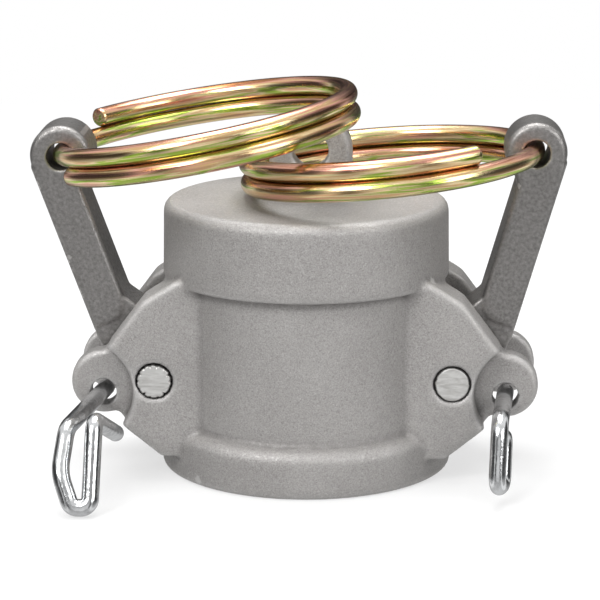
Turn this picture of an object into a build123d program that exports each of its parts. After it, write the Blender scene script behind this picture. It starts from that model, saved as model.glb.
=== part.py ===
"""Dust cap for a one-inch cam and groove adapter, in millimetres.

The mouth plane is Z = 0 and the cap stands on its rim. The arm pins run along Y at plus and minus X.
"""

from build123d import *
from math import asin, cos, degrees, pi, radians, sin
import os

# Adapter that the cap closes
ADAPTER_DIAMETER = 36.5
BORE_CLEARANCE = 0.35
LEAD_IN_CLEARANCE = 0.75
LEAD_IN_DEPTH = 7.0
LEAD_IN_TAPER = 0.4

# Length that every hole's cutter runs past the face it opens, and slack when edges are picked by place
CUT_OVERRUN = 1.0
PICK_MARGIN = 0.1

# Cap body, from the rim up to the closed end
WAIST_WALL = 3.2
RIM_STEP = 2.6
RIM_HEIGHT = 8.2
RIM_LOWER_FILLET = 1.0
RIM_UPPER_FILLET = 2.4
SHOULDER_Z = 32.4
CROWN_STEP = 2.15
CROWN_DRAFT = 0.2
CROWN_LOWER_FILLET = 0.7
CROWN_UPPER_FILLET = 1.8
STEP_FILLET_SHARE = 0.95
BODY_HEIGHT = 45.3
DISH_RADIUS = 13.0
DISH_DEPTH = 2.0

# Gasket and the groove that holds it
GASKET_BORE_RADIUS = 13.5
GASKET_RADIUS = 19.85
GASKET_HEIGHT = 6.3
GASKET_BEVEL = 0.5
GROOVE_Z = 31.0
GROOVE_RADIAL_CLEARANCE = 0.15
GROOVE_END_CLEARANCE = 0.1

# Ears: two cheeks each side, with the arm's slot between them
PIN_X = 24.5
PIN_Z = 17.0
EAR_HALF_WIDTH = 14.2
SLOT_HALF_WIDTH = 5.6
EAR_ROOT_X = 14.0
EAR_TOP_Z = 34.0
EAR_CREST_X = 20.6
EAR_KNEE_X = 26.4
EAR_KNEE_Z = 30.4
EAR_NECK_X = 32.5
EAR_NECK_Z = 22.2
EAR_FOOT_X = 30.2
EAR_FOOT_Z = 9.5
EAR_HEEL_X = 23.6
EAR_HEEL_Z = 4.2
EAR_KNEE_FILLET = 4.0
LUG_NECK_FILLET = 1.1
EAR_EDGE_FILLET = 0.9
WINDOW_BOTTOM_Z = 8.8
WINDOW_TOP_Z = 28.0

# Lugs on the ears, for the safety clips
LUG_X = 33.4
LUG_Z = 15.6
LUG_RADIUS = 5.4
LUG_FACE = 9.6
LUG_EDGE_FILLET = 0.8
SPOT_FACE_X = 36.9
SPOT_FACE_Z = 14.9
SPOT_FACE_RADIUS = 8.8
CLIP_HOLE_DROP = 1.7
CLIP_HOLE_RADIUS = 2.15

# Eyelet on the closed end, for a retaining chain
EYELET_X = 0.8
EYELET_RADIUS = 6.9
EYELET_HEIGHT = 15.1
EYELET_THICKNESS = 5.0
EYELET_HOLE_RADIUS = 3.0
EYELET_EDGE_FILLET = 1.2
EYELET_SINK = 1.5

# Arm pins
PIN_RADIUS = 3.0
PIN_RUNNING_CLEARANCE = 0.05
KNURL_LENGTH = 4.0
KNURL_COUNT = 14
KNURL_GROOVE_RADIUS = 0.38

# Cam arms, drawn upright with the pin at the origin and the shank outboard
SHANK_OFFSET = 4.6
SHANK_WIDTH = 6.8
SHANK_FOOT = 9.6
SHANK_HALF_THICKNESS = 5.3
SHANK_CORNER_FILLET = 3.2
SHANK_EDGE_FILLET = 1.1
RING_EYE_OFFSET = 2.65
RING_EYE_RISE = 10.8
RING_EYE_RADIUS = 5.1
RING_HOLE_RADIUS = 2.25
NECK_FILLET = 2.6
CAM_HALF_THICKNESS = 5.0
HUB_RADIUS = 6.6
HEEL_RADIUS = 2.4
HEEL_HEIGHT = 8.6
NOSE_RADIUS = 4.4
NOSE_REACH = 9.8
NOSE_DROP = 0.5
CAM_EDGE_FILLET = 0.6
LEFT_LEAN_ANGLE = 20.2
RIGHT_LEAN_ANGLE = 16.2

# Pull rings: round wire, just under two turns. Each far side rises over what it lies on:
# the left ring over the eyelet's top, the right one over the closed end.
RING_WIRE_RADIUS = 1.6
LEFT_RING_RADIUS = 24.2
RIGHT_RING_RADIUS = 23.8
RING_TURN_GAP = 0.12
LEFT_RING_FAR_RISE = 0.79
LEFT_RING_ROLL = -1.2
LEFT_RING_LOWER_WRAP_ANGLE = 335.0
LEFT_RING_UPPER_WRAP_ANGLE = 324.0
RIGHT_RING_FAR_RISE = 4.19
RIGHT_RING_ROLL = -1.6
RIGHT_RING_LOWER_WRAP_ANGLE = 335.0
RIGHT_RING_UPPER_WRAP_ANGLE = 306.0

# Safety clips: spring wire, drawn out so that the tip stays in the front lug
CLIP_WIRE_RADIUS = 1.4
CLIP_TIP_INSET = 0.8
LEFT_CLIP_ROUTE = (
    (0.3, 0.0, 0.15),
    (-3.8, -21.1, -1.2),
    (-4.5, -25.5, -7.2),
    (-2.5, -27.6, -12.3),
    (0.5, -27.6, -12.3),
    (0.8, -22.1, 0.6),
    (2.2, -5.1, -6.6),
)
LEFT_CLIP_BEND_RADII = (3.4, 8.0, 1.5, 1.5, 1.9)
RIGHT_CLIP_ROUTE = (
    (0.1, 0.0, 0.0),
    (-1.4, -18.8, 0.0),
    (-1.8, -21.3, -10.3),
    (-0.8, -17.0, -10.8),
    (-0.5, -14.0, -4.0),
    (-1.0, -3.6, -6.1),
)
RIGHT_CLIP_BEND_RADII = (3.4, 1.95, 1.95, 1.9)


def plate(sketch, near, far):
    """Extrude a sketch drawn in X and Z from Y = near to Y = far."""
    return extrude(Plane.XZ.offset(-near) * sketch, far - near, dir=(0, 1, 0))


def rod(x, z, radius, near, far):
    """Round bar along Y from near to far."""
    return plate(Pos(x, z) * Circle(radius), near, far)


def both_sides(make):
    """Shape made at plus X, with its mirror image at minus X."""
    right = make()
    return right + mirror(right, about=Plane.YZ)


def bore_radius():
    return ADAPTER_DIAMETER / 2 + BORE_CLEARANCE


def waist_radius():
    return bore_radius() + WAIST_WALL


def rim_radius():
    return waist_radius() + RIM_STEP


def crown_radius():
    return waist_radius() + CROWN_STEP


def ring_eye_height():
    return BODY_HEIGHT - PIN_Z + RING_EYE_RISE


def lead_in_radius():
    return ADAPTER_DIAMETER / 2 + LEAD_IN_CLEARANCE


def groove_top():
    return GROOVE_Z + GROOVE_END_CLEARANCE + GASKET_HEIGHT


def clip_hole_z():
    return LUG_Z - CLIP_HOLE_DROP


def eyelet_centre_z():
    return BODY_HEIGHT + EYELET_HEIGHT - EYELET_RADIUS


def body_shell():
    """Turned outside of the cap: rim, waist and crown."""
    rim, waist, crown = rim_radius(), waist_radius(), crown_radius()
    crown_top = crown - CROWN_DRAFT
    outline = Polyline(
        (0, 0),
        (rim, 0),
        (rim, RIM_HEIGHT),
        (waist, RIM_HEIGHT),
        (waist, SHOULDER_Z),
        (crown, SHOULDER_Z),
        (crown_top, BODY_HEIGHT),
        (0, BODY_HEIGHT),
        close=True,
    )
    section = make_face(outline)
    corner_fillets = (
        (rim, 0, RIM_LOWER_FILLET),
        (rim, RIM_HEIGHT, min(RIM_UPPER_FILLET, STEP_FILLET_SHARE * RIM_STEP)),
        (crown, SHOULDER_Z, min(CROWN_LOWER_FILLET, STEP_FILLET_SHARE * CROWN_STEP)),
        (crown_top, BODY_HEIGHT, CROWN_UPPER_FILLET),
    )
    for x, y, radius in corner_fillets:
        corner = section.vertices().sort_by_distance((x, y, 0))[0]
        section = fillet(corner, radius)
    return revolve(Plane.XZ * section, Axis.Z)


def ear_outline():
    """Side view of one ear with its lug, drawn at plus X."""
    ear = make_face(
        Polyline(
            (EAR_ROOT_X, EAR_HEEL_Z),
            (EAR_ROOT_X, EAR_TOP_Z),
            (EAR_CREST_X, EAR_TOP_Z),
            (EAR_KNEE_X, EAR_KNEE_Z),
            (EAR_NECK_X, EAR_NECK_Z),
            (LUG_X, LUG_Z),
            (EAR_FOOT_X, EAR_FOOT_Z),
            (EAR_HEEL_X, EAR_HEEL_Z),
            close=True,
        )
    )
    crest = ear.vertices().sort_by_distance((EAR_CREST_X, EAR_TOP_Z, 0))[0]
    ear = fillet(crest, EAR_KNEE_FILLET)
    knee = ear.vertices().sort_by_distance((EAR_KNEE_X, EAR_KNEE_Z, 0))[0]
    ear = fillet(knee, EAR_KNEE_FILLET)
    outline = ear + Pos(LUG_X, LUG_Z) * Circle(LUG_RADIUS)
    centre = Vector(LUG_X, LUG_Z)
    for near in (Vector(EAR_NECK_X, EAR_NECK_Z), Vector(EAR_FOOT_X, EAR_FOOT_Z)):
        neck = centre + (near - centre).normalized() * LUG_RADIUS
        outline = fillet(outline.vertices().sort_by_distance(neck)[0], LUG_NECK_FILLET)
    return outline


def ear_cheek():
    """Front cheek of one ear, before the holes are drilled."""
    cheek = plate(ear_outline(), -EAR_HALF_WIDTH, -SLOT_HALF_WIDTH)
    outside = -EAR_HALF_WIDTH - CUT_OVERRUN
    spot = rod(SPOT_FACE_X, SPOT_FACE_Z, SPOT_FACE_RADIUS, outside, -LUG_FACE)
    cheek -= spot
    face = cheek.faces().sort_by(Axis.Y)[0]
    root = EAR_ROOT_X + PICK_MARGIN
    rim = [e for e in face.edges() if e.center().X > root and e.center().Z > EAR_HEEL_Z + PICK_MARGIN]
    cheek = fillet(rim, EAR_EDGE_FILLET)
    lug_face = cheek.faces().filter_by(Axis.Y).filter_by_position(
        Axis.Y, -LUG_FACE - PICK_MARGIN, -LUG_FACE + PICK_MARGIN
    )
    tip = lug_face.edges().sort_by(Axis.X)[-1]
    return fillet(tip, LUG_EDGE_FILLET)


def ears():
    """Both ears, each with a front and a rear cheek."""
    cheek = ear_cheek()
    pair = cheek + mirror(cheek, about=Plane.XZ)
    return pair + mirror(pair, about=Plane.YZ)


def eyelet():
    """Round-topped tab with a hole, standing on the closed end."""
    centre_z = eyelet_centre_z()
    base_z = BODY_HEIGHT - EYELET_SINK
    stem = Pos(EYELET_X, (base_z + centre_z) / 2) * Rectangle(2 * EYELET_RADIUS, centre_z - base_z)
    outline = stem + Pos(EYELET_X, centre_z) * Circle(EYELET_RADIUS)
    tab = plate(outline, -EYELET_THICKNESS / 2, EYELET_THICKNESS / 2)
    faces = tab.faces().filter_by(Axis.Y)
    rim = [e for f in faces for e in f.edges() if e.center().Z > base_z + PICK_MARGIN]
    tab = fillet(rim, EYELET_EDGE_FILLET)
    return tab - rod(EYELET_X, centre_z, EYELET_HOLE_RADIUS, -EYELET_THICKNESS, EYELET_THICKNESS)


def body_cavity():
    """Bore for the adapter with its wider mouth, groove for the gasket and the shallow dish above it."""
    radius = bore_radius()
    groove_radius = GASKET_RADIUS + GROOVE_RADIAL_CLEARANCE
    outline = Polyline(
        (0, -CUT_OVERRUN),
        (lead_in_radius(), -CUT_OVERRUN),
        (lead_in_radius(), LEAD_IN_DEPTH),
        (radius, LEAD_IN_DEPTH + LEAD_IN_TAPER),
        (radius, GROOVE_Z),
        (groove_radius, GROOVE_Z),
        (groove_radius, groove_top()),
        (DISH_RADIUS, groove_top()),
        (DISH_RADIUS, groove_top() + DISH_DEPTH),
        (0, groove_top() + DISH_DEPTH),
        close=True,
    )
    return revolve(Plane.XZ * make_face(outline), Axis.Z)


def arm_window():
    """Opening through the waist wall where the cam of one arm reaches the adapter."""
    height = WINDOW_TOP_Z - WINDOW_BOTTOM_Z
    middle = (WINDOW_TOP_Z + WINDOW_BOTTOM_Z) / 2
    return Pos(rim_radius(), 0, middle) * Box(rim_radius(), 2 * SLOT_HALF_WIDTH, height)


def cap_body():
    """The casting: shell, ears, lugs and eyelet, with every hole cut."""
    hole = PIN_RADIUS + PIN_RUNNING_CLEARANCE
    reach = EAR_HALF_WIDTH + CUT_OVERRUN
    body = body_shell() + ears() + eyelet()
    body -= body_cavity()
    body -= both_sides(arm_window)
    body -= both_sides(lambda: rod(PIN_X, PIN_Z, hole, -reach, reach))
    body -= both_sides(lambda: rod(LUG_X, clip_hole_z(), CLIP_HOLE_RADIUS, -reach, reach))
    return body


def gasket():
    """Flat seal that the adapter's end presses against."""
    width = GASKET_RADIUS - GASKET_BORE_RADIUS
    section = Rectangle(width, GASKET_HEIGHT)
    section = fillet(section.vertices(), GASKET_BEVEL)
    middle = (GASKET_RADIUS + GASKET_BORE_RADIUS) / 2
    seat = groove_top() - GASKET_HEIGHT / 2
    return revolve(Plane.XZ * (Pos(middle, seat) * section), Axis.Z)


def arm_pin(x, knurl_side):
    """Pin through both cheeks, with a grooved end that holds it in the casting."""
    pin = rod(x, PIN_Z, PIN_RADIUS, -EAR_HALF_WIDTH, EAR_HALF_WIDTH)
    end = knurl_side * EAR_HALF_WIDTH
    near = min(end, end - knurl_side * KNURL_LENGTH)
    for i in range(KNURL_COUNT):
        turn = 2 * pi * i / KNURL_COUNT
        groove_x = x + PIN_RADIUS * cos(turn)
        groove_z = PIN_Z + PIN_RADIUS * sin(turn)
        pin -= rod(groove_x, groove_z, KNURL_GROOVE_RADIUS, near, near + KNURL_LENGTH)
    return pin


def shank_outline():
    """Lever part of the arm, upright: a bar with a round eye at its top."""
    left = SHANK_OFFSET - SHANK_WIDTH / 2
    bar = make_face(
        Polyline(
            (left, SHANK_FOOT),
            (left + SHANK_WIDTH, SHANK_FOOT),
            (left + SHANK_WIDTH, ring_eye_height()),
            (left, ring_eye_height()),
            close=True,
        )
    )
    corner = bar.vertices().sort_by_distance((left, SHANK_FOOT, 0))[0]
    bar = fillet(corner, SHANK_CORNER_FILLET)
    outline = bar + Pos(RING_EYE_OFFSET, ring_eye_height()) * Circle(RING_EYE_RADIUS)
    neck_z = ring_eye_height() - (RING_EYE_RADIUS**2 - (left - RING_EYE_OFFSET) ** 2) ** 0.5
    neck = outline.vertices().sort_by_distance((left, neck_z, 0))[0]
    return fillet(neck, NECK_FILLET)


def cam_outline():
    """Lower part of the arm, upright: hub on the pin, heel and cam nose."""
    heel_x = SHANK_OFFSET + SHANK_WIDTH / 2 - HEEL_RADIUS
    hub = Circle(HUB_RADIUS)
    heel = Pos(heel_x, HEEL_HEIGHT) * Circle(HEEL_RADIUS)
    shoulder = Pos(SHANK_OFFSET - SHANK_WIDTH / 2 + HEEL_RADIUS, SHANK_FOOT + SHANK_CORNER_FILLET)
    back = make_hull((hub + heel + shoulder * Circle(HEEL_RADIUS)).edges())
    nose = Pos(NOSE_RADIUS - NOSE_REACH, -NOSE_DROP) * Circle(NOSE_RADIUS)
    lobe = make_hull((hub + nose).edges())
    return back + lobe


def cam_arm(side, lean):
    """One arm, leaning outward by lean degrees; side is +1 at plus X and -1 at minus X."""
    shank = plate(shank_outline(), -SHANK_HALF_THICKNESS, SHANK_HALF_THICKNESS)
    shank = fillet(shank.faces().filter_by(Axis.Y).edges(), SHANK_EDGE_FILLET)
    cam = plate(cam_outline(), -CAM_HALF_THICKNESS, CAM_HALF_THICKNESS)
    cam = fillet(cam.faces().filter_by(Axis.Y).edges(), CAM_EDGE_FILLET)
    reach = SHANK_HALF_THICKNESS + CUT_OVERRUN
    arm = shank + cam
    arm -= rod(0, 0, PIN_RADIUS + PIN_RUNNING_CLEARANCE, -reach, reach)
    arm -= rod(RING_EYE_OFFSET, ring_eye_height(), RING_HOLE_RADIUS, -reach, reach)
    arm = Pos(PIN_X, 0, PIN_Z) * Rot(0, lean, 0) * arm
    return arm if side > 0 else mirror(arm, about=Plane.YZ)


def ring_eye(side, lean):
    """Centre of an arm's ring eye when the arm leans outward by lean degrees."""
    turn = radians(lean)
    x = PIN_X + RING_EYE_OFFSET * cos(turn) + ring_eye_height() * sin(turn)
    z = PIN_Z - RING_EYE_OFFSET * sin(turn) + ring_eye_height() * cos(turn)
    return Vector(side * x, 0, z)


def ring_coil(radius, lower_wrap, upper_wrap):
    """Wire coil through the origin, wound round plus X, with its turns in degrees below and above it."""
    pitch = 2 * RING_WIRE_RADIUS + RING_TURN_GAP
    path = Helix(pitch, pitch * (lower_wrap + upper_wrap) / 360, radius)
    section = Plane(path @ 0, z_dir=path % 0) * Circle(RING_WIRE_RADIUS)
    coil = sweep(section, path=path, is_frenet=True)
    coil = Pos(0, 0, -pitch * lower_wrap / 360) * Rot(0, 0, 180 - lower_wrap) * coil
    return Pos(radius, 0, 0) * coil


def ring_tilt(radius, eye_z, far_z):
    """Slope of a ring from its arm's eye to its far side, in degrees."""
    return degrees(asin((far_z - eye_z) / (2 * radius)))


def left_ring():
    """Ring through the left arm's eye, lying up over the eyelet's shoulder."""
    eye = ring_eye(-1, LEFT_LEAN_ANGLE)
    tilt = ring_tilt(LEFT_RING_RADIUS, eye.Z, BODY_HEIGHT + EYELET_HEIGHT + LEFT_RING_FAR_RISE)
    coil = ring_coil(LEFT_RING_RADIUS, LEFT_RING_LOWER_WRAP_ANGLE, LEFT_RING_UPPER_WRAP_ANGLE)
    return Pos(*eye) * Rot(0, -tilt, 0) * Rot(LEFT_RING_ROLL, 0, 0) * coil


def right_ring():
    """Ring through the right arm's eye, lying on the closed end round the eyelet."""
    eye = ring_eye(1, RIGHT_LEAN_ANGLE)
    tilt = ring_tilt(RIGHT_RING_RADIUS, eye.Z, BODY_HEIGHT + RIGHT_RING_FAR_RISE)
    coil = ring_coil(RIGHT_RING_RADIUS, RIGHT_RING_LOWER_WRAP_ANGLE, RIGHT_RING_UPPER_WRAP_ANGLE)
    coil = Rot(0, 0, 180) * coil
    return Pos(*eye) * Rot(0, tilt, 0) * Rot(RIGHT_RING_ROLL, 0, 0) * coil


def bent_wire(points, radii):
    """Round wire along straight runs joined by arcs."""
    path = FilletPolyline(*points, radius=radii)
    section = Plane(path @ 0, z_dir=path % 0) * Circle(CLIP_WIRE_RADIUS)
    return sweep(section, path=path)


def safety_clip(side, route, radii):
    """Clip with its tip in a front lug; route holds the offsets from the hole's centre there."""
    tip_y = -SLOT_HALF_WIDTH - CLIP_TIP_INSET
    start = Vector(side * LUG_X, tip_y, clip_hole_z())
    return bent_wire([start + Vector(*offset) for offset in route], radii)


def main():
    os.makedirs("parts", exist_ok=True)
    parts = {
        "cap_body": cap_body(),
        "gasket": gasket(),
        "left_arm": cam_arm(-1, LEFT_LEAN_ANGLE),
        "right_arm": cam_arm(1, RIGHT_LEAN_ANGLE),
        "left_pin": arm_pin(-PIN_X, -1),
        "right_pin": arm_pin(PIN_X, 1),
        "left_pull_ring": left_ring(),
        "right_pull_ring": right_ring(),
        "left_safety_clip": safety_clip(-1, LEFT_CLIP_ROUTE, LEFT_CLIP_BEND_RADII),
        "right_safety_clip": safety_clip(1, RIGHT_CLIP_ROUTE, RIGHT_CLIP_BEND_RADII),
    }
    for name, shape in parts.items():
        export_step(shape, f"parts/{name}.step")


main()
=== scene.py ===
"""Looks of the camlock dust cap: the casting, its arms and pins, the seal, the pull rings and the clips."""

import logging
import math
from dataclasses import dataclass
from enum import Enum
from typing import Any, Optional, Sequence

import bmesh
import bpy
from mathutils import Matrix, Vector


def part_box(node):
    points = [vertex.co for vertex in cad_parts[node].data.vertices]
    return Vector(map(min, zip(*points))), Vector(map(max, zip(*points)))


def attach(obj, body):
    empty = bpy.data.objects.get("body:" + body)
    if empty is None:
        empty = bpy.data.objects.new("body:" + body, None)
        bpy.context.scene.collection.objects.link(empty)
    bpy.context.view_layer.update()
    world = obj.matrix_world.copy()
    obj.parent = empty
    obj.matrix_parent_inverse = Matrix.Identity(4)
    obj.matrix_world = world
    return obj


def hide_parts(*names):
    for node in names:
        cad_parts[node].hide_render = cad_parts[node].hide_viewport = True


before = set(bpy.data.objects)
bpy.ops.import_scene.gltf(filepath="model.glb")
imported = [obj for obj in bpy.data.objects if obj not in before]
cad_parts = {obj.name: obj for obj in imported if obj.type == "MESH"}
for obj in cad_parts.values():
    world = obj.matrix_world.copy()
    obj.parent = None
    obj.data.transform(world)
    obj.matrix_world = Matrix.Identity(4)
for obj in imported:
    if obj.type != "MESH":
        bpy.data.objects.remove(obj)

log = logging.getLogger("dust_cap")

MM = 0.001
Point = tuple[float, float, float]
Colour = tuple[float, float, float]
Stop = tuple[float, Colour]


class Side(Enum):
    """The two sides of the cap, by the sign of X."""

    LEFT = -1
    RIGHT = 1

    @property
    def word(self) -> str:
        """Lower-case name that the CAD nodes of this side start with."""
        return self.name.lower()


class Slot(Enum):
    """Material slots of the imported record."""

    BODY = "cast_body"
    ARM = "arm_steel"
    PIN = "pin_steel"
    RING = "ring_plating"
    CLIP = "clip_plating"
    SEAL = "seal_rubber"


class KnurlEnd(Enum):
    """End of an arm pin that carries the knurl, by the sign of Y."""

    FRONT = -1
    REAR = 1


class NodeBench:
    """Lays out the nodes of one tree, for a finish or for a shape."""

    def __init__(self, tree: bpy.types.NodeTree) -> None:
        """Start on a tree.

        Args:
            tree: Shader or geometry node tree.
        """
        self.tree = tree
        self.column = 0

    def add(self, kind: str, values: Optional[dict[Any, Any]] = None, **settings: Any) -> bpy.types.Node:
        """Add a node and wire it.

        Args:
            kind: Blender's type name for the node.
            values: Input name or number to a constant or to another node's output.
            **settings: Properties of the node itself.

        Returns:
            The new node.
        """
        node = self.tree.nodes.new(kind)
        self.column += 1
        node.location = (180 * (self.column % 12), -220 * (self.column // 12))
        for key, value in settings.items():
            setattr(node, key, value)
        for key, value in (values or {}).items():
            socket = node.inputs[key]
            if isinstance(value, bpy.types.NodeSocket):
                self.tree.links.new(value, socket)
            else:
                socket.default_value = value
        return node

    def sum(self, kind: str, first: Any, second: Any = 0.0, third: Any = 0.0, clamp: bool = False) -> Any:
        """Combine numbers with one Math node.

        Args:
            kind: Operation, such as MULTIPLY.
            first: First number or output.
            second: Second number or output.
            third: Third number or output, for the operations that take one.
            clamp: Keep the result from 0 to 1.

        Returns:
            The result's output socket.
        """
        values = {0: first, 1: second}
        if kind in ("MULTIPLY_ADD", "SMOOTH_MIN", "COMPARE"):
            values[2] = third
        return self.add("ShaderNodeMath", values, operation=kind, use_clamp=clamp).outputs[0]

    def spread(self, value: Any, low: float, high: float, start: float = 0.0, end: float = 1.0) -> Any:
        """Map a number's range onto another, clamped.

        Args:
            value: Number that varies.
            low: Its value at start.
            high: Its value at end.
            start: Result at low.
            end: Result at high.

        Returns:
            The result's output socket.
        """
        values = {"Value": value, "From Min": low, "From Max": high, "To Min": start, "To Max": end}
        return self.add("ShaderNodeMapRange", values).outputs["Result"]

    def ramp(self, value: Any, stops: Sequence[Stop]) -> Any:
        """Turn a number into a colour.

        Args:
            value: Number from 0 to 1.
            stops: Place and colour of each stop.

        Returns:
            The colour output.
        """
        node = self.add("ShaderNodeValToRGB", {0: value})
        elements = node.color_ramp.elements
        while len(elements) < len(stops):
            elements.new(0.5)
        for element, (place, colour) in zip(elements, stops):
            element.position = place
            element.color = (*colour, 1.0)
        return node.outputs[0]


class FinishBench(NodeBench):
    """Lays out one finish around a Principled shader."""

    def __init__(self, name: str) -> None:
        """Make an empty material.

        Args:
            name: Name of the finish.
        """
        self.material = bpy.data.materials.new(name)
        self.material.use_nodes = True
        super().__init__(self.material.node_tree)
        self.tree.nodes.clear()
        self.output = self.add("ShaderNodeOutputMaterial")
        self.shader = self.add("ShaderNodeBsdfPrincipled")
        self.tree.links.new(self.shader.outputs[0], self.output.inputs["Surface"])
        self.place = self.add("ShaderNodeTexCoord").outputs["Object"]

    def constants(self, **values: Any) -> None:
        """Set shader sockets that are the same all over.

        Args:
            **values: Socket name with underscores for spaces, to its value.
        """
        for key, value in values.items():
            self.shader.inputs[key.replace("_", " ")].default_value = value

    def vary(self, name: str, value: Any) -> None:
        """Drive a shader socket by an output that varies over the surface."""
        self.tree.links.new(value, self.shader.inputs[name])

    def noise(self, scale: float, detail: float = 2.0, rough: float = 0.5, place: Any = None, warp: float = 0.0) -> Any:
        """Noise in the piece's own space.

        Args:
            scale: Cells per metre.
            detail: Octaves.
            rough: Weight of the finer octaves.
            place: Coordinates, by default Object.
            warp: Distortion.

        Returns:
            The output from 0 to 1.
        """
        values = {
            "Vector": place or self.place,
            "Scale": scale,
            "Detail": detail,
            "Roughness": rough,
            "Distortion": warp,
        }
        return self.add("ShaderNodeTexNoise", values).outputs[0]

    def blend(self, amount: Any, first: Any, second: Any, kind: str = "MIX") -> Any:
        """Mix two colours.

        Args:
            amount: Share of the second.
            first: Colour or output.
            second: Colour or output.
            kind: Blend type.

        Returns:
            The colour output.
        """
        node = self.add("ShaderNodeMix", {"Factor": amount}, data_type="RGBA", blend_type=kind)
        for socket, value in ((node.inputs[6], first), (node.inputs[7], second)):
            if isinstance(value, bpy.types.NodeSocket):
                self.tree.links.new(value, socket)
            else:
                socket.default_value = (*value, 1.0)
        return node.outputs[2]

    def relief(self, height: Any, depth: float, strength: float = 1.0, under: Any = None) -> Any:
        """Bump from a height.

        Args:
            height: Number that varies over the surface.
            depth: Metres that one unit of height stands for.
            strength: Share of the bump.
            under: Normal of a coarser bump below this one.

        Returns:
            The normal output.
        """
        values = {"Height": height, "Distance": depth, "Strength": strength}
        if under is not None:
            values["Normal"] = under
        return self.add("ShaderNodeBump", values).outputs[0]


@dataclass(frozen=True)
class BlastedCasting:
    """Grit-blasted aluminium, warm grey with small bright facets and dark pits, painted shade in its creases, and edges
    worn bright with a painted highlight.
    """

    dark: Colour = (0.290, 0.277, 0.269)
    pale: Colour = (0.480, 0.466, 0.455)
    # Colour of the random dark pits, and of the painted shade in creases.
    pit_and_crease_shade: Colour = (0.11, 0.104, 0.100)
    grain: float = 4600.0
    facet: float = 4200.0
    grain_depth: float = 0.00006
    metallic: float = 0.5

    def make(self) -> bpy.types.Material:
        """Build the material."""
        bench = FinishBench("blasted_casting")
        bench.constants(Metallic=self.metallic, Specular_IOR_Level=0.45)
        grain = bench.noise(self.grain, 4.0, 0.62)
        coarse = bench.noise(self.grain / 3.1, 2.0, 0.5)
        cloud = bench.noise(70.0, 3.0, 0.55)
        cells = bench.add("ShaderNodeTexVoronoi", {"Vector": bench.place, "Scale": self.facet})
        glint = bench.add("ShaderNodeSeparateColor", {0: cells.outputs["Color"]}).outputs[0]
        bright = bench.spread(glint, 0.86, 0.97)
        dull = bench.spread(glint, 0.0, 0.16, 1.0, 0.0)
        tone = bench.sum("MULTIPLY_ADD", bench.sum("SUBTRACT", cloud, 0.5), 0.30, grain)
        base = bench.ramp(tone, ((0.30, self.dark), (0.70, self.pale)))
        base = bench.blend(bench.sum("MULTIPLY", bright, 0.10), base, (0.72, 0.71, 0.70))
        base = bench.blend(bench.sum("MULTIPLY", dull, 0.22), base, self.pit_and_crease_shade)
        edge = bench.add("ShaderNodeNewGeometry").outputs["Pointiness"]
        # Painted shade: concave creases (low pointiness) darken toward the pit colour.
        low = bench.spread(edge, 0.450, 0.497, 0.85, 0.0)
        # Worn bright and painted highlight: convex edges (high pointiness) turn pale.
        high = bench.spread(edge, 0.512, 0.56, 0.0, 0.55)
        base = bench.blend(low, base, self.pit_and_crease_shade)
        base = bench.blend(high, base, (0.66, 0.65, 0.64))
        bench.vary("Base Color", base)
        rough = bench.sum("MULTIPLY_ADD", grain, 0.22, 0.44)
        bench.vary("Roughness", bench.sum("MULTIPLY_ADD", bright, -0.22, rough))
        under = bench.relief(coarse, self.grain_depth * 1.4, 0.8)
        bench.vary("Normal", bench.relief(grain, self.grain_depth, 1.0, under))
        return bench.material


@dataclass(frozen=True)
class SmoothCasting:
    """Tumbled cast steel of the arms, darker than the body, with edges rubbed bright and a painted highlight, and
    painted shade in its creases.
    """

    dark: Colour = (0.175, 0.168, 0.163)
    pale: Colour = (0.310, 0.300, 0.292)
    rubbed_and_highlight: Colour = (0.62, 0.60, 0.58)
    mottle: float = 1700.0
    depth: float = 0.00009

    def make(self) -> bpy.types.Material:
        """Build the material."""
        bench = FinishBench("smooth_casting")
        bench.constants(Metallic=0.85, Specular_IOR_Level=0.5)
        mottle = bench.noise(self.mottle, 4.0, 0.6, warp=0.3)
        grain = bench.noise(self.mottle * 2.2, 2.0, 0.5)
        cloud = bench.noise(95.0, 2.0)
        tone = bench.sum("MULTIPLY_ADD", bench.sum("SUBTRACT", cloud, 0.5), 0.15, mottle)
        base = bench.ramp(tone, ((0.30, self.dark), (0.72, self.pale)))
        edge = bench.add("ShaderNodeNewGeometry").outputs["Pointiness"]
        # Worn bright and painted highlight: convex edges (high pointiness) turn pale.
        base = bench.blend(bench.spread(edge, 0.51, 0.56, 0.0, 0.6), base, self.rubbed_and_highlight)
        # Painted shade: concave creases (low pointiness) darken toward the dark tone.
        base = bench.blend(bench.spread(edge, 0.45, 0.492, 0.7, 0.0), base, self.dark)
        bench.vary("Base Color", base)
        bench.vary("Roughness", bench.spread(mottle, 0.3, 0.7, 0.50, 0.34))
        under = bench.relief(mottle, self.depth, 0.6)
        bench.vary("Normal", bench.relief(grain, self.depth * 0.45, 0.7, under))
        return bench.material


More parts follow.
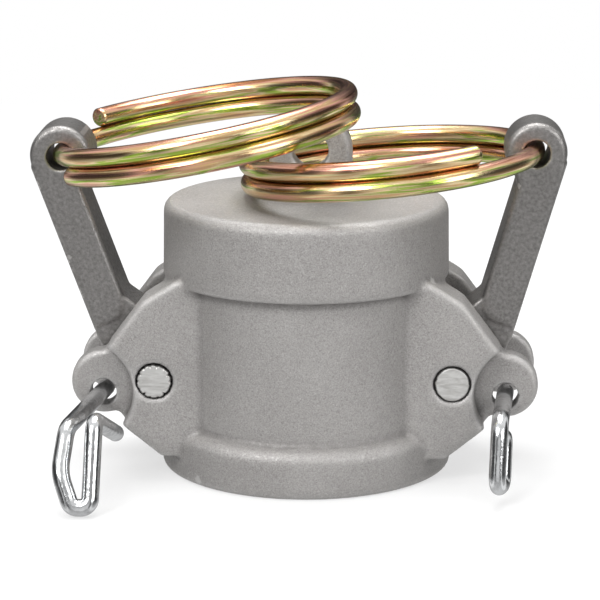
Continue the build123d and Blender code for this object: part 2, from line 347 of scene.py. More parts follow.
@dataclass(frozen=True)
class TurnedSteel:
    """Bright turned pin with a sheared, slightly smeared end, and a painted shadow round the rim of each end."""

    base: Colour = (0.66, 0.655, 0.640)
    shade: Colour = (0.46, 0.45, 0.435)
    gap_shadow: Colour = (0.022, 0.020, 0.019)
    smear: float = 800.0
    axis: tuple[float, float] = (0.0245, 0.0170)

    def make(self) -> bpy.types.Material:
        """Build the material."""
        bench = FinishBench("turned_steel")
        bench.constants(Metallic=0.7, Specular_IOR_Level=0.5)
        stretch = bench.add("ShaderNodeMapping", {"Vector": bench.place, "Scale": (0.35, 1.0, 1.6)})
        smear = bench.noise(self.smear, 3.0, 0.6, place=stretch.outputs[0], warp=0.8)
        here = bench.add("ShaderNodeSeparateXYZ", {0: bench.place}).outputs
        across = bench.sum("SUBTRACT", bench.sum("ABSOLUTE", here[0]), self.axis[0])
        up = bench.sum("SUBTRACT", here[2], self.axis[1])
        out = bench.sum("SQRT", bench.sum("MULTIPLY_ADD", across, across, bench.sum("MULTIPLY", up, up)))
        out = bench.sum("MULTIPLY_ADD", bench.sum("SUBTRACT", smear, 0.5), 0.0005, out)
        # Painted shadow: the eased rim at each pin end, beyond about 2.6 mm from the axis and near the end, goes near
        # black, as the gap between pin and hole in shade.
        gap_shadow_mask = bench.sum(
            "MULTIPLY",
            bench.spread(out, 0.00258, 0.00280),
            bench.spread(bench.sum("ABSOLUTE", here[1]), 0.0128, 0.0134),
        )
        base = bench.ramp(smear, ((0.32, self.shade), (0.62, self.base)))
        bench.vary("Base Color", bench.blend(gap_shadow_mask, base, self.gap_shadow))
        bench.vary("Roughness", bench.spread(smear, 0.3, 0.7, 0.55, 0.36))
        bench.vary("Normal", bench.relief(smear, 0.00006, 0.8))
        return bench.material


@dataclass(frozen=True)
class PassivatedZinc:
    """Yellow passivated plating: bands of gold, green and pink that wander along the wire, with a painted reflection
    that shifts them across the wire's section.
    """

    copper: Colour = (0.36, 0.150, 0.060)
    pink: Colour = (0.76, 0.400, 0.300)
    gold: Colour = (0.66, 0.440, 0.210)
    straw: Colour = (0.84, 0.660, 0.400)
    lime: Colour = (0.38, 0.520, 0.080)
    band: float = 55.0

    def make(self) -> bpy.types.Material:
        """Build the material."""
        bench = FinishBench("passivated_zinc")
        bench.constants(Metallic=1.0)
        run = bench.add("ShaderNodeAttribute", attribute_name="wire_run").outputs["Fac"]
        ring = bench.add("ShaderNodeAttribute", attribute_name="wire_ring").outputs["Vector"]
        parts = bench.add("ShaderNodeSeparateXYZ", {0: ring})
        across, up = parts.outputs[0], parts.outputs[1]
        lane = bench.add("ShaderNodeCombineXYZ", {0: bench.sum("MULTIPLY", run, self.band), 1: across, 2: up})
        wander = bench.noise(1.0, 2.0, 0.5, place=lane.outputs[0], warp=0.4)
        streak_place = bench.add(
            "ShaderNodeCombineXYZ",
            {
                0: bench.sum("MULTIPLY", run, self.band * 1.6),
                1: bench.sum("MULTIPLY", across, 7.0),
                2: bench.sum("MULTIPLY", up, 7.0),
            },
        )
        streak = bench.noise(1.0, 3.0, 0.55, place=streak_place.outputs[0])
        speck = bench.noise(3800.0, 2.0)
        # Painted reflection: the colour shifts from one side of the wire's section to the other.
        tone = bench.sum("MULTIPLY_ADD", up, 0.17, wander)
        tone = bench.sum("MULTIPLY_ADD", bench.sum("SUBTRACT", streak, 0.5), 0.34, tone)
        tone = bench.sum("MULTIPLY_ADD", bench.sum("SUBTRACT", speck, 0.5), 0.05, tone)
        stops = (
            (0.22, self.copper),
            (0.36, self.pink),
            (0.45, self.gold),
            (0.53, self.straw),
            (0.60, self.lime),
            (0.65, self.lime),
            (0.70, self.straw),
            (0.80, self.pink),
            (0.90, self.copper),
        )
        bench.vary("Base Color", bench.ramp(tone, stops))
        bench.vary("Roughness", bench.spread(streak, 0.3, 0.7, 0.15, 0.27))
        bench.vary("Normal", bench.relief(streak, 0.00005, 0.5))
        return bench.material


@dataclass(frozen=True)
class BrightZinc:
    """Bright zinc on spring wire, with faint draw lines and small dings."""

    base: Colour = (0.70, 0.71, 0.72)
    dull: Colour = (0.46, 0.465, 0.47)

    def make(self) -> bpy.types.Material:
        """Build the material."""
        bench = FinishBench("bright_zinc")
        bench.constants(Metallic=1.0)
        cloud = bench.noise(420.0, 3.0, 0.55, warp=0.5)
        fine = bench.noise(2400.0, 3.0, 0.6)
        bench.vary("Base Color", bench.ramp(cloud, ((0.30, self.dull), (0.56, self.base))))
        bench.vary("Roughness", bench.spread(cloud, 0.3, 0.7, 0.24, 0.11))
        under = bench.relief(cloud, 0.00016, 0.55)
        bench.vary("Normal", bench.relief(fine, 0.00002, 0.5, under))
        return bench.material


@dataclass(frozen=True)
class SealRubber:
    """Black moulded rubber with a faint bloom."""

    base: Colour = (0.020, 0.020, 0.021)
    bloom: Colour = (0.055, 0.054, 0.052)

    def make(self) -> bpy.types.Material:
        """Build the material."""
        bench = FinishBench("moulded_rubber")
        bench.constants(Specular_IOR_Level=0.35)
        cloud = bench.noise(160.0, 4.0, 0.6)
        fine = bench.noise(3000.0, 2.0)
        bench.vary("Base Color", bench.ramp(cloud, ((0.35, self.base), (0.75, self.bloom))))
        bench.vary("Roughness", bench.spread(cloud, 0.3, 0.7, 0.58, 0.74))
        bench.vary("Normal", bench.relief(fine, 0.00004, 0.6))
        return bench.material


@dataclass(frozen=True)
class StudioPaper:
    """Seamless white paper that keeps a soft shadow under the object."""

    seen: float = 0.90
    bounce: float = 0.42
    lift: float = 0.62
    shadow_reach: tuple[float, float] = (0.10, 0.40)

    def make(self) -> bpy.types.Material:
        """Build the material."""
        material = bpy.data.materials.new("studio_paper")
        material.use_nodes = True
        bench = NodeBench(material.node_tree)
        bench.tree.nodes.clear()
        output = bench.add("ShaderNodeOutputMaterial")
        rays = bench.add("ShaderNodeLightPath")
        seen = bench.sum("MAXIMUM", rays.outputs["Is Camera Ray"], rays.outputs["Is Transmission Ray"])
        shade = bench.spread(seen, 0.0, 1.0, self.bounce, self.seen)
        grey = bench.add("ShaderNodeCombineColor", {0: shade, 1: shade, 2: shade})
        paper = bench.add("ShaderNodeBsdfDiffuse", {"Color": grey.outputs[0]})
        white = bench.add("ShaderNodeEmission", {"Color": (1.0, 1.0, 1.0, 1.0), "Strength": 1.0})
        place = bench.add("ShaderNodeTexCoord").outputs["Object"]
        away = bench.add("ShaderNodeVectorMath", {0: place}, operation="LENGTH").outputs["Value"]
        lift = bench.spread(away, self.shadow_reach[0], self.shadow_reach[1], self.lift, 1.0)
        share = bench.sum("MULTIPLY", seen, lift)
        mix = bench.add("ShaderNodeMixShader", {0: share, 1: paper.outputs[0], 2: white.outputs[0]})
        bench.tree.links.new(mix.outputs[0], output.inputs["Surface"])
        return material


def settle(obj: bpy.types.Object, material: bpy.types.Material) -> bpy.types.Object:
    """Turn an object with modifiers into a plain mesh in one finish.

    Args:
        obj: Object whose evaluated shape is kept.
        material: Finish of every face.

    Returns:
        A new object at the origin; the old one is gone.
    """
    name = obj.name
    graph = bpy.context.evaluated_depsgraph_get()
    mesh = bpy.data.meshes.new_from_object(obj.evaluated_get(graph))
    bpy.data.objects.remove(obj, do_unlink=True)
    mesh.name = name
    mesh.materials.clear()
    mesh.materials.append(material)
    mesh.polygons.foreach_set("material_index", [0] * len(mesh.polygons))
    mesh.polygons.foreach_set("use_smooth", [True] * len(mesh.polygons))
    made = bpy.data.objects.new(name, mesh)
    bpy.context.scene.collection.objects.link(made)
    return made


def merged_copy(node: str, name: str) -> bpy.types.Object:
    """Copy a CAD node with its loose triangles joined.

    Args:
        node: CAD node's name.
        name: Name of the copy.

    Returns:
        The copy, linked to the scene.
    """
    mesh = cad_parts[node].data.copy()
    mesh.name = name
    work = bmesh.new()
    work.from_mesh(mesh)
    bmesh.ops.remove_doubles(work, verts=work.verts, dist=2e-6)
    work.to_mesh(mesh)
    work.free()
    copy = bpy.data.objects.new(name, mesh)
    bpy.context.scene.collection.objects.link(copy)
    return copy


def softened(node: str, name: str, cell: float, passes: int, material: bpy.types.Material) -> bpy.types.Object:
    """Copy a CAD node as a casting, with its sharp corners a little rounded.

    Args:
        node: CAD node's name.
        name: Name of the piece.
        cell: Size of the remesh cell in metres.
        passes: Smoothing passes.
        material: Finish of the piece.

    Returns:
        The finished piece.
    """
    copy = merged_copy(node, name)
    cells = copy.modifiers.new("cells", "REMESH")
    cells.mode = "VOXEL"
    cells.voxel_size = cell
    cells.use_smooth_shade = True
    smooth = copy.modifiers.new("smooth", "SMOOTH")
    smooth.factor = 0.5
    smooth.iterations = passes
    return settle(copy, material)


def dress(piece: bpy.types.Object, body: str, node: str) -> None:
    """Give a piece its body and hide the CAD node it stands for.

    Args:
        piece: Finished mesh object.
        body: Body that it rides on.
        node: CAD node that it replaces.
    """
    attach(piece, body)
    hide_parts(node)
    log.info("%s: %d faces", piece.name, len(piece.data.polygons))


class ShapeTree(NodeBench):
    """A Geometry Nodes tree with named inputs."""

    def __init__(self, name: str, inputs: dict[str, tuple[str, Any]]) -> None:
        """Make the tree and its sockets.

        Args:
            name: Name of the tree.
            inputs: Input name to its socket type and default; None leaves the default alone.
        """
        super().__init__(bpy.data.node_groups.new(name, "GeometryNodeTree"))
        self.keys: dict[str, str] = {}
        for label, (kind, default) in inputs.items():
            socket = self.tree.interface.new_socket(name=label, in_out="INPUT", socket_type=kind)
            if default is not None:
                socket.default_value = default
            self.keys[label] = socket.identifier
        self.tree.interface.new_socket(name="Geometry", in_out="OUTPUT", socket_type="NodeSocketGeometry")
        self.entry = self.add("NodeGroupInput")
        self.exit = self.add("NodeGroupOutput")

    def given(self, label: str) -> Any:
        """Output socket of a named input."""
        return self.entry.outputs[label]

    def close(self, geometry: Any) -> None:
        """Send a geometry to the tree's output."""
        self.tree.links.new(geometry, self.exit.inputs[0])

    def apply(self, obj: bpy.types.Object, **values: Any) -> None:
        """Put the tree on an object as a modifier.

        Args:
            obj: Object that takes the modifier.
            **values: Input name with underscores for spaces, to its value.
        """
        modifier = obj.modifiers.new(self.tree.name, "NODES")
        modifier.node_group = self.tree
        for label, value in values.items():
            modifier[self.keys[label.replace("_", " ")]] = value


def wire_skin_tree() -> ShapeTree:
    """Tree that puts a round wire on a curve, with eased ends and the marks that the plating follows."""
    tree = ShapeTree(
        "wire_skin",
        {
            "Curve": ("NodeSocketGeometry", None),
            "Wire Radius": ("NodeSocketFloat", 0.0016),
            "End Easing": ("NodeSocketFloat", 0.0003),
            "Facets": ("NodeSocketInt", 28),
            "Finish": ("NodeSocketMaterial", None),
        },
    )
    length = tree.add("GeometryNodeSplineParameter").outputs["Length"]
    whole = tree.add("GeometryNodeSplineLength").outputs["Length"]
    from_end = tree.sum("MINIMUM", length, tree.sum("SUBTRACT", whole, length))
    share = tree.sum("DIVIDE", from_end, tree.given("End Easing"), clamp=True)
    short = tree.sum("SUBTRACT", 1.0, share)
    eased = tree.sum("SQRT", tree.sum("SUBTRACT", 1.0, tree.sum("MULTIPLY", short, tree.sum("MULTIPLY", short, 0.28))))
    marked = tree.add(
        "GeometryNodeStoreNamedAttribute",
        {"Geometry": tree.given("Curve"), "Name": "wire_run", "Value": length},
        data_type="FLOAT",
        domain="POINT",
    )
    circle = tree.add("GeometryNodeCurvePrimitiveCircle", {"Resolution": tree.given("Facets"), "Radius": 1.0})
    round_place = tree.add("GeometryNodeInputPosition").outputs[0]
    profile = tree.add(
        "GeometryNodeStoreNamedAttribute",
        {"Geometry": circle.outputs["Curve"], "Name": "wire_ring", "Value": round_place},
        data_type="FLOAT_VECTOR",
        domain="POINT",
    )
    skin = tree.add(
        "GeometryNodeCurveToMesh",
        {
            "Curve": marked.outputs[0],
            "Profile Curve": profile.outputs[0],
            "Scale": tree.sum("MULTIPLY", tree.given("Wire Radius"), eased),
            "Fill Caps": True,
        },
    )
    smooth = tree.add("GeometryNodeSetShadeSmooth", {"Geometry": skin.outputs[0]})
    real = tree.add("GeometryNodeRealizeInstances", {"Geometry": smooth.outputs[0]})
    finished = tree.add("GeometryNodeSetMaterial", {"Geometry": real.outputs[0], "Material": tree.given("Finish")})
    tree.close(finished.outputs[0])
    return tree


def coil_tree(skin: ShapeTree) -> ShapeTree:
    """Tree that winds a wire into a split ring about its own Z axis.

    Args:
        skin: Tree that puts the wire on the path.

    Returns:
        The coil's tree.
    """
    tree = ShapeTree(
        "split_ring",
        {
            "Geometry": ("NodeSocketGeometry", None),
            "Coil Radius": ("NodeSocketFloat", 0.0238),
            "Pitch": ("NodeSocketFloat", 0.0033),
            "Start Angle": ("NodeSocketFloat", 0.0),
            "Total Angle": ("NodeSocketFloat", 11.5),
            "Wire Radius": ("NodeSocketFloat", 0.0016),
            "Steps": ("NodeSocketInt", 900),
            "Finish": ("NodeSocketMaterial", None),
        },
    )
    line = tree.add("GeometryNodeCurvePrimitiveLine", {"End": (0.0, 0.0, 1.0)})
    dotted = tree.add("GeometryNodeResampleCurve", {"Curve": line.outputs[0], "Count": tree.given("Steps")})
    share = tree.add("GeometryNodeSplineParameter").outputs["Factor"]
    turned = tree.sum("MULTIPLY", share, tree.given("Total Angle"))
    angle = tree.sum("ADD", turned, tree.given("Start Angle"))
    place = tree.add(
        "ShaderNodeCombineXYZ",
        {
            0: tree.sum("MULTIPLY", tree.sum("COSINE", angle), tree.given("Coil Radius")),
            1: tree.sum("MULTIPLY", tree.sum("SINE", angle), tree.given("Coil Radius")),
            2: tree.sum("MULTIPLY", tree.sum("DIVIDE", angle, 2 * math.pi), tree.given("Pitch")),
        },
    )
    wound = tree.add("GeometryNodeSetPosition", {"Geometry": dotted.outputs[0], "Position": place.outputs[0]})
    upright = tree.add("GeometryNodeSetCurveNormal", {"Curve": wound.outputs[0]}, mode="Z_UP")
    wire = tree.add("GeometryNodeGroup", node_tree=skin.tree)
    tree.tree.links.new(upright.outputs[0], wire.inputs["Curve"])
    for label in ("Wire Radius", "Finish"):
        tree.tree.links.new(tree.given(label), wire.inputs[label])
    wire.inputs["Facets"].default_value = 32
    wire.inputs["End Easing"].default_value = 0.0003
    tree.close(wire.outputs[0])
    return tree


def bent_tree(skin: ShapeTree) -> ShapeTree:
    """Tree that rounds each corner of a route by the radius its point holds, and puts a wire on it.

    Args:
        skin: Tree that puts the wire on the path.

    Returns:
        The clip's tree.
    """
    tree = ShapeTree(
        "bent_clip",
        {
            "Geometry": ("NodeSocketGeometry", None),
            "Wire Radius": ("NodeSocketFloat", 0.0014),
            "Finish": ("NodeSocketMaterial", None),
        },
    )
    corner = tree.add("GeometryNodeInputRadius").outputs[0]
    rounded = tree.add(
        "GeometryNodeFilletCurve",
        {"Curve": tree.given("Geometry"), "Count": 14, "Radius": corner},
        mode="POLY",
    )
    even = tree.add("GeometryNodeResampleCurve", {"Curve": rounded.outputs[0], "Length": 0.0002}, mode="LENGTH")
    wire = tree.add("GeometryNodeGroup", node_tree=skin.tree)
    tree.tree.links.new(even.outputs[0], wire.inputs["Curve"])
    for label in ("Wire Radius", "Finish"):
        tree.tree.links.new(tree.given(label), wire.inputs[label])
    wire.inputs["Facets"].default_value = 28
    wire.inputs["End Easing"].default_value = 0.0003
    tree.close(wire.outputs[0])
    return tree


def knurled_pin_tree() -> ShapeTree:
    """Tree that makes a pin along Y, grooved at one end and eased at both."""
    tree = ShapeTree(
        "knurled_pin",
        {
            "Geometry": ("NodeSocketGeometry", None),
            "Radius": ("NodeSocketFloat", 0.003),
            "Half Length": ("NodeSocketFloat", 0.0142),
            "Knurl Length": ("NodeSocketFloat", 0.004),
            "Groove Depth": ("NodeSocketFloat", 0.00048),
            "Groove Count": ("NodeSocketFloat", 14.0),
            "Knurl Side": ("NodeSocketFloat", -1.0),
            "Edge": ("NodeSocketFloat", 0.0004),
            "Finish": ("NodeSocketMaterial", None),
        },
    )
    half = tree.given("Half Length")
    near = tree.add("ShaderNodeCombineXYZ", {1: tree.sum("MULTIPLY", half, -1.0)})
    far = tree.add("ShaderNodeCombineXYZ", {1: half})
    axis = tree.add("GeometryNodeCurvePrimitiveLine", {"Start": near.outputs[0], "End": far.outputs[0]})
    dotted = tree.add("GeometryNodeResampleCurve", {"Curve": axis.outputs[0], "Count": 290})
    circle = tree.add("GeometryNodeCurvePrimitiveCircle", {"Resolution": 196, "Radius": 1.0})
    bar = tree.add(
        "GeometryNodeCurveToMesh",
        {"Curve": dotted.outputs[0], "Profile Curve": circle.outputs[0], "Scale": 1.0, "Fill Caps": True},
    )
    here = tree.add("ShaderNodeSeparateXYZ", {0: tree.add("GeometryNodeInputPosition").outputs[0]})
    x, y, z = here.outputs
    turn = tree.sum("ARCTAN2", z, x)
    wobble = tree.sum("MULTIPLY", tree.sum("SINE", tree.sum("MULTIPLY", turn, 3.0)), 0.35)
    wave = tree.sum("COSINE", tree.sum("ADD", tree.sum("MULTIPLY", turn, tree.given("Groove Count")), wobble))
    uneven = tree.sum("MULTIPLY_ADD", tree.sum("SINE", tree.sum("MULTIPLY", turn, 5.0)), 0.3, 0.7)
    groove = tree.sum("MULTIPLY", tree.spread(wave, 0.05, 1.0, 0.0, 1.0), uneven)
    along = tree.sum("MULTIPLY", y, tree.given("Knurl Side"))
    start = tree.sum("SUBTRACT", half, tree.given("Knurl Length"))
    knurled = tree.sum("DIVIDE", tree.sum("SUBTRACT", along, start), 0.0004, clamp=True)
    cut = tree.sum("MULTIPLY", tree.sum("MULTIPLY", groove, knurled), tree.given("Groove Depth"))
    from_end = tree.sum("SUBTRACT", half, tree.sum("ABSOLUTE", y))
    share = tree.sum("DIVIDE", from_end, tree.given("Edge"), clamp=True)
    short = tree.sum("SUBTRACT", 1.0, share)
    ease = tree.sum("MULTIPLY", tree.sum("MULTIPLY", short, short), tree.given("Edge"))
    radius = tree.sum("SUBTRACT", tree.sum("SUBTRACT", tree.given("Radius"), cut), ease)
    place = tree.add(
        "ShaderNodeCombineXYZ",
        {0: tree.sum("MULTIPLY", x, radius), 1: y, 2: tree.sum("MULTIPLY", z, radius)},
    )
    shaped = tree.add("GeometryNodeSetPosition", {"Geometry": bar.outputs[0], "Position": place.outputs[0]})
    real = tree.add("GeometryNodeRealizeInstances", {"Geometry": shaped.outputs[0]})
    finished = tree.add("GeometryNodeSetMaterial", {"Geometry": real.outputs[0], "Material": tree.given("Finish")})
    tree.close(finished.outputs[0])
    return tree


def empty_mesh(name: str) -> bpy.types.Object:
    """Object with an empty mesh, for a tree that makes its own shape."""
    made = bpy.data.objects.new(name, bpy.data.meshes.new(name))
    bpy.context.scene.collection.objects.link(made)
    return made


def turned_shape(name: str, profile: Sequence[tuple[float, float]], steps: int) -> bpy.types.Object:
    """Turn a closed profile about Z.

    Args:
        name: Name of the piece.
        profile: Radius and height of each point, in metres.
        steps: Points round the circle.

    Returns:
        The piece, linked to the scene.
    """
    count = len(profile)
    points: list[Point] = []
    for step in range(steps):
        angle = 2 * math.pi * step / steps
        points += [(r * math.cos(angle), r * math.sin(angle), z) for r, z in profile]
    faces = []
    for step in range(steps):
        here, there = step * count, (step + 1) % steps * count
        for i in range(count):
            j = (i + 1) % count
            faces.append((here + i, here + j, there + j, there + i))
    mesh = bpy.data.meshes.new(name)
    mesh.from_pydata(points, [], faces)
    work = bmesh.new()
    work.from_mesh(mesh)
    bmesh.ops.recalc_face_normals(work, faces=work.faces)
    work.to_mesh(mesh)
    work.free()
    made = bpy.data.objects.new(name, mesh)
    bpy.context.scene.collection.objects.link(made)
    return made


@dataclass
class CapCasting:
    """The one-piece body."""

    cell: float = 0.00048
    passes: int = 3

    def build(self) -> None:
        """Make the casting from its CAD node."""
        piece = softened("cap_body", "casting", self.cell, self.passes, BlastedCasting().make())
        dress(piece, "cap", "cap_body")


@dataclass
class Seal:
    """The rubber ring in its groove, moulded with rounded corners."""

    corner: float = 0.5 * MM
    crown: float = 0.06 * MM
    steps: int = 160

    def build(self) -> None:
        """Make the seal in the place of its CAD node."""
        low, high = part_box("gasket")
        outer, base, top = high.x, low.z, high.z
        inner = outer - 6.35 * MM
        corners = (
            (outer - self.corner, base + self.corner, -90.0),
            (outer - self.corner, top - self.corner, 0.0),
            (inner + self.corner, top - self.corner, 90.0),
            (inner + self.corner, base + self.corner, 180.0),
        )
        profile: list[tuple[float, float]] = []
        for r, z, start in corners:
            for i in range(7):
                turn = math.radians(start + 15 * i)
                profile.append((r + self.corner * math.cos(turn), z + self.corner * math.sin(turn)))
        piece = settle(turned_shape("seal", profile, self.steps), SealRubber().make())
        dress(piece, "cap", "gasket")


@dataclass
class ArmPins:
    """The pins that the arms turn on, grooved at one end."""

    across: float = 24.5 * MM
    height: float = 17.0 * MM

    def build(self) -> None:
        """Make both pins, the left one grooved at the front and the right one at the rear."""
        tree = knurled_pin_tree()
        finish = TurnedSteel().make()
        for side, end in ((Side.LEFT, KnurlEnd.FRONT), (Side.RIGHT, KnurlEnd.REAR)):
            blank = empty_mesh(f"{side.word}_arm_pin")
            tree.apply(blank, Knurl_Side=float(end.value), Finish=finish)
            piece = settle(blank, finish)
            piece.data.transform(Matrix.Translation((side.value * self.across, 0.0, self.height)))
            flatten_ends(piece)
            dress(piece, "cap", f"{side.word}_pin")


def flatten_ends(piece: bpy.types.Object) -> None:
    """Shade a pin's two end faces flat."""
    for face in piece.data.polygons:
        if abs(face.normal.y) > 0.99 and len(face.vertices) > 4:
            face.use_smooth = False


@dataclass
class CamArms:
    """The two levers."""

    cell: float = 0.00027
    passes: int = 4

    def build(self) -> None:
        """Make both arms from their CAD nodes."""
        finish = SmoothCasting().make()
        for side in Side:
            word = side.word
            piece = softened(f"{word}_arm", f"{word}_lever", self.cell, self.passes, finish)
            dress(piece, f"{word}_cam_arm", f"{word}_arm")


@dataclass(frozen=True)
class RingPose:
    """How one pull ring lies.

    Attributes:
        side: Arm that it hangs in.
        radius: Radius of the coil's centre line.
        eye: Centre of the arm's eye.
        tilt: Rise of the ring away from the arm, in degrees.
        roll: Turn about the line from the arm, in degrees.
        lower_wrap: Turn below the eye, in degrees.
        upper_wrap: Turn above the eye, in degrees.
    """

    side: Side
    radius: float
    eye: Point
    tilt: float
    roll: float
    lower_wrap: float
    upper_wrap: float

    def place(self) -> Matrix:
        """Matrix, in metres, that carries a coil about the origin to its place."""
        spin = Matrix.Rotation(math.pi, 4, "Z")
        start = Matrix.Translation((self.radius, 0.0, 0.0)) @ spin
        tilt = Matrix.Rotation(math.radians(-self.tilt), 4, "Y")
        roll = Matrix.Rotation(math.radians(self.roll), 4, "X")
        face = spin if self.side is Side.RIGHT else Matrix.Identity(4)
        return Matrix.Translation(self.eye) @ tilt @ roll @ face @ start


@dataclass
class PullRings:
    """Both split rings of passivated wire."""

    wire: float = 1.6 * MM
    gap: float = 0.02 * MM

    def build(self) -> None:
        """Wind both rings and set them in their arms."""
        tree = coil_tree(wire_skin_tree())
        finish = PassivatedZinc().make()
        pitch = 2 * self.wire + self.gap
        poses = (
            RingPose(Side.LEFT, 24.2 * MM, (-0.040488, 0.0, 0.052780), 10.01, -1.2, 335.0, 324.0),
            RingPose(Side.RIGHT, 23.8 * MM, (0.037953, 0.0, 0.053808), 5.2, -1.6, 335.0, 306.0),
        )
        for pose in poses:
            word = pose.side.word
            blank = empty_mesh(f"{word}_split_ring")
            tree.apply(
                blank,
                Coil_Radius=pose.radius,
                Pitch=pitch,
                Start_Angle=-math.radians(pose.lower_wrap),
                Total_Angle=math.radians(pose.lower_wrap + pose.upper_wrap),
                Wire_Radius=self.wire,
                Finish=finish,
            )
            piece = settle(blank, finish)
            piece.data.transform(pose.place())
            dress(piece, f"{word}_ring", f"{word}_pull_ring")


@dataclass(frozen=True)
class ClipRoute:
    """Corner points of one clip's wire and the bends at them, in millimetres from the centre of its hole."""

    side: Side
    points: tuple[Point, ...]
    bends: tuple[float, ...]


@dataclass
class SafetyClips:
    """Both bent wire clips."""

    wire: float = 1.4 * MM
    hole: Point = (33.4, -6.4, 13.9)

    def route(self, clip: ClipRoute) -> bpy.types.Object:
        """Lay out a clip's centre line, each point holding its bend radius.

        Args:
            clip: Side and corner points.

        Returns:
            A curve object.
        """
        name = f"{clip.side.word}_wire_clip"
        curve = bpy.data.curves.new(name, "CURVE")
        curve.dimensions = "3D"
        spline = curve.splines.new("POLY")
        spline.points.add(len(clip.points) - 1)
        for point, offset, bend in zip(spline.points, clip.points, clip.bends):
            x = (clip.side.value * self.hole[0] + offset[0]) * MM
            point.co = (x, (self.hole[1] + offset[1]) * MM, (self.hole[2] + offset[2]) * MM, 1.0)
            point.radius = bend * MM
        made = bpy.data.objects.new(name, curve)
        bpy.context.scene.collection.objects.link(made)
        return made

    def build(self) -> None:
        """Bend both clips."""
        tree = bent_tree(wire_skin_tree())
        finish = BrightZinc().make()
        routes = (
            ClipRoute(
                Side.LEFT,
                (
                    (0.3, 0.0, 0.15),
                    (-3.8, -21.1, -1.2),
                    (-4.5, -25.5, -7.2),
                    (-2.5, -27.6, -12.3),
                    (0.5, -27.6, -12.3),
                    (0.8, -22.1, 0.6),
                    (2.2, -5.1, -6.6),
                ),
                (0.0, 3.4, 8.0, 1.5, 1.5, 1.9, 0.0),
            ),
            ClipRoute(
                Side.RIGHT,
                (
                    (0.1, 0.0, 0.0),
                    (-1.4, -18.8, 0.0),
                    (-1.8, -21.3, -10.3),
                    (-0.8, -17.0, -10.8),
                    (-0.5, -14.0, -4.0),
                    (-1.0, -3.6, -6.1),
                ),
                (0.0, 3.4, 1.95, 1.95, 1.9, 0.0),
            ),
        )
        for route in routes:
            word = route.side.word
            blank = self.route(route)
            tree.apply(blank, Wire_Radius=self.wire, Finish=finish)
            piece = settle(blank, finish)
            dress(piece, f"{word}_clip", f"{word}_safety_clip")


@dataclass(frozen=True)
class SoftBox:
    """One soft studio lamp.

    Attributes:
        name: Its name.
        place: Where it stands.
        aim: What it points at.
        size: Width and height in metres.
        watts: Power.
    """

    name: str
    place: Point
    aim: Point
    size: tuple[float, float]
    watts: float

    def build(self) -> None:
        """Add the lamp."""
        lamp = bpy.data.lights.new(self.name, "AREA")
        lamp.shape = "RECTANGLE"
        lamp.size, lamp.size_y = self.size
        lamp.energy = self.watts
        made = bpy.data.objects.new(self.name, lamp)
        made.location = self.place
        made.rotation_mode = "QUATERNION"
        made.rotation_quaternion = (Vector(self.aim) - Vector(self.place)).to_track_quat("-Z", "Y")
        bpy.context.scene.collection.objects.link(made)


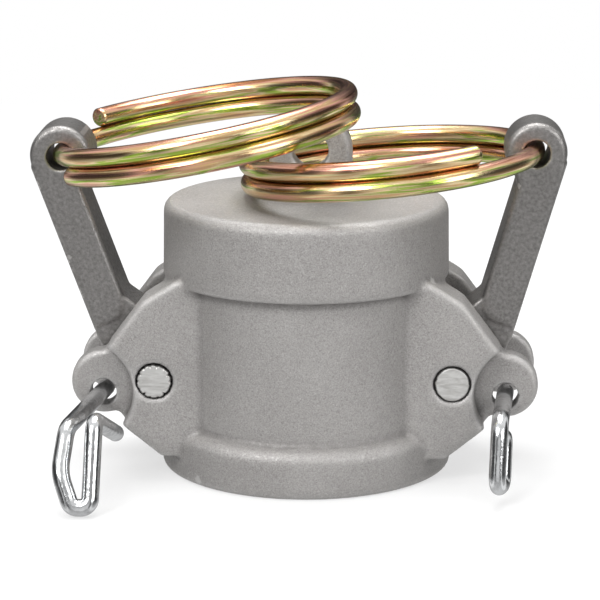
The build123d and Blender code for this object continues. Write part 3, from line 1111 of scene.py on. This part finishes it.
@dataclass
class Studio:
    """Camera, lamps, world and paper."""

    target: Point = (0.0, 0.0, 0.030)
    distance: float = 0.430
    elevation: float = 13.12
    azimuth: float = 2.4
    focal_px: float = 2555.9
    frame_px: float = 600.0
    centre_px: tuple[float, float] = (306.3, 286.6)
    air: float = 0.50
    room: tuple[tuple[float, float], ...] = (
        (0.00, 0.75),
        (0.30, 0.50),
        (0.41, 0.16),
        (0.49, 0.05),
        (0.65, 0.05),
        (0.74, 0.30),
        (0.83, 0.85),
        (1.00, 1.00),
    )

    def camera(self) -> None:
        """Set the camera at the photographed angle."""
        data = bpy.data.cameras.new("view_camera")
        data.sensor_width = 36.0
        data.lens = self.focal_px * 36.0 / self.frame_px
        data.shift_x = (self.frame_px / 2 - self.centre_px[0]) / self.frame_px
        data.shift_y = (self.centre_px[1] - self.frame_px / 2) / self.frame_px
        data.clip_start, data.clip_end = 0.01, 20.0
        up, turn = math.radians(self.elevation), math.radians(self.azimuth)
        back = Vector((math.sin(turn) * math.cos(up), -math.cos(turn) * math.cos(up), math.sin(up)))
        made = bpy.data.objects.new("view_camera", data)
        made.location = Vector(self.target) + back * self.distance
        made.rotation_mode = "QUATERNION"
        made.rotation_quaternion = (-back).to_track_quat("-Z", "Y")
        bpy.context.scene.collection.objects.link(made)
        bpy.context.scene.camera = made

    def world(self) -> None:
        """White to the eye, plain soft grey as a lamp, and to reflections a pale room with dark corners."""
        world = bpy.data.worlds.new("studio_air")
        world.use_nodes = True
        bench = NodeBench(world.node_tree)
        bench.tree.nodes.clear()
        output = bench.add("ShaderNodeOutputWorld")
        rays = bench.add("ShaderNodeLightPath")
        way = bench.add("ShaderNodeSeparateXYZ", {0: bench.add("ShaderNodeTexCoord").outputs["Object"]}).outputs
        level = bench.ramp(
            bench.sum("MULTIPLY_ADD", way[2], 0.5, 0.5),
            [(place, (tone, tone, tone)) for place, tone in self.room],
        )
        front = bench.spread(bench.sum("MULTIPLY", way[1], -1.0), 0.86, 0.97, 0.0, 0.75)
        side = bench.sum("ABSOLUTE", bench.sum("SUBTRACT", bench.sum("ABSOLUTE", way[0]), 0.72))
        side = bench.spread(side, 0.04, 0.12, 0.65, 0.0)
        level = bench.sum("ADD", bench.sum("ADD", level, front), side, clamp=True)
        soft = bench.spread(rays.outputs["Is Glossy Ray"], 0.0, 1.0, self.air, 0.0)
        mirrored = bench.sum("MULTIPLY_ADD", rays.outputs["Is Glossy Ray"], level, soft)
        seen = bench.sum("MAXIMUM", rays.outputs["Is Camera Ray"], rays.outputs["Is Transmission Ray"])
        strength = bench.sum("MAXIMUM", seen, mirrored)
        light = bench.add("ShaderNodeBackground", {"Color": (1.0, 1.0, 1.0, 1.0), "Strength": strength})
        bench.tree.links.new(light.outputs[0], output.inputs["Surface"])
        bpy.context.scene.world = world

    def paper(self) -> None:
        """Lay the paper that the cap stands on."""
        mesh = bpy.data.meshes.new("studio_floor")
        reach = 6.0
        corners = [(-reach, -reach, -1e-5), (reach, -reach, -1e-5), (reach, reach, -1e-5), (-reach, reach, -1e-5)]
        mesh.from_pydata(corners, [], [(0, 1, 2, 3)])
        mesh.materials.append(StudioPaper().make())
        floor = bpy.data.objects.new("studio_floor", mesh)
        bpy.context.scene.collection.objects.link(floor)
        floor.visible_glossy = False

    def build(self) -> None:
        """Set up the whole studio."""
        bpy.context.scene.view_settings.view_transform = "Standard"
        self.camera()
        self.world()
        self.paper()
        lamps = (
            SoftBox("key_lamp", (-0.42, -0.62, 0.62), (0.0, 0.0, 0.03), (0.45, 0.45), 5.2),
            SoftBox("fill_lamp", (0.60, -0.55, 0.35), (0.0, 0.0, 0.03), (0.45, 0.45), 2.6),
            SoftBox("top_lamp", (0.0, 0.15, 0.85), (0.0, 0.0, 0.03), (0.6, 0.6), 6.5),
        )
        for lamp in lamps:
            lamp.build()


def corners(box: tuple[Vector, Vector]) -> list[list[float]]:
    """Two corners as plain lists of numbers."""
    return [list(box[0]), list(box[1])]


def main() -> None:
    """Build the studio and every piece in order."""
    logging.basicConfig(level=logging.INFO, format="%(message)s")
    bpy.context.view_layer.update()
    Studio().build()
    for part in (CapCasting(), Seal(), ArmPins(), CamArms(), PullRings(), SafetyClips()):
        log.info("making %s", type(part).__name__)
        part.build()
    bpy.context.view_layer.update()


if __name__ == "__main__":
    main()
